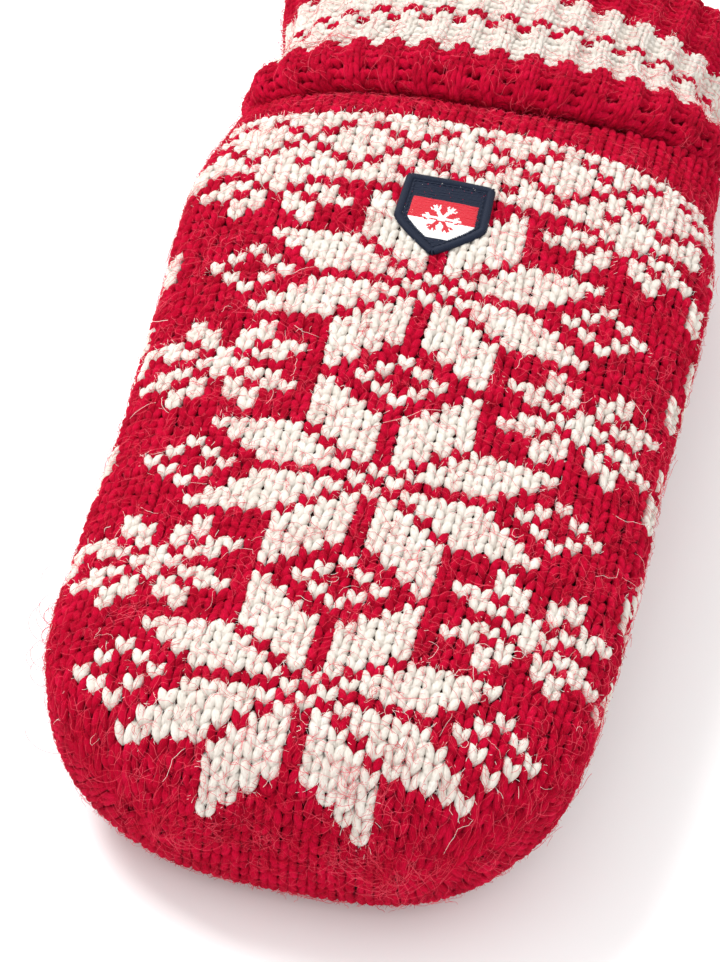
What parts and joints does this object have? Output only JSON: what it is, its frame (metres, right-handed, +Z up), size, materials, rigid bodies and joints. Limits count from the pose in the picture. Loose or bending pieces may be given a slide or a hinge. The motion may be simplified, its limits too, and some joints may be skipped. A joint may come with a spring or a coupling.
{
  "type": "knitted mitten",
  "caption": "Lined knitted mitten with a ribbed cuff, star and snowflake colourwork, a tucked thumb and a small woven shield label on the back of the hand",
  "frame": {"origin": "on the surface that the mitten lies on, under the middle of its bounding box", "axes": "+Y from the fingertips to the open end of the cuff, +Z up through the back of the hand, +X towards the thumb side"},
  "size_m": [0.1058, 0.248, 0.059],
  "materials": {
    "red_wool": "crimson worsted wool, brushed and slightly felted, with loose fibres",
    "white_wool": "off-white worsted wool, plump stitches",
    "fleece": "brushed polyester fleece, short pile",
    "navy_weave": "fine damask weave with a raised merrowed edge",
    "satin": "woven satin ribbon"
  },
  "bodies": {
    "hand": {"palm_shell": "red_wool", "palm_lining": "fleece", "thumb_joining_round": "red_wool", "lining_seam": "red_wool", "label_patch": "navy_weave", "label_stitching": "navy_weave", "care_label": "satin"},
    "fingers": {"finger_shell": "red_wool", "finger_lining": "fleece"},
    "thumb": {"thumb_shell": "white_wool", "thumb_lining": "fleece"},
    "cuff": {"cuff_rib": "red_wool"}
  },
  "joints": [
    {"name": "finger_bend", "type": "hinge", "parent": "hand", "child": "fingers", "pos_m": [0, -0.066, 0.048], "axis": [-1, 0, 0], "range_deg": [0, 35]},
    {"name": "thumb_swing", "type": "hinge", "parent": "hand", "child": "thumb", "pos_m": [0.028, -0.003, 0.012], "axis": [0, 0, 1], "range_deg": [0, 65]},
    {"name": "wrist_bend", "type": "hinge", "parent": "hand", "child": "cuff", "pos_m": [0, 0.059, 0.0575], "axis": [1, 0, 0], "range_deg": [0, 40]}
  ]
}
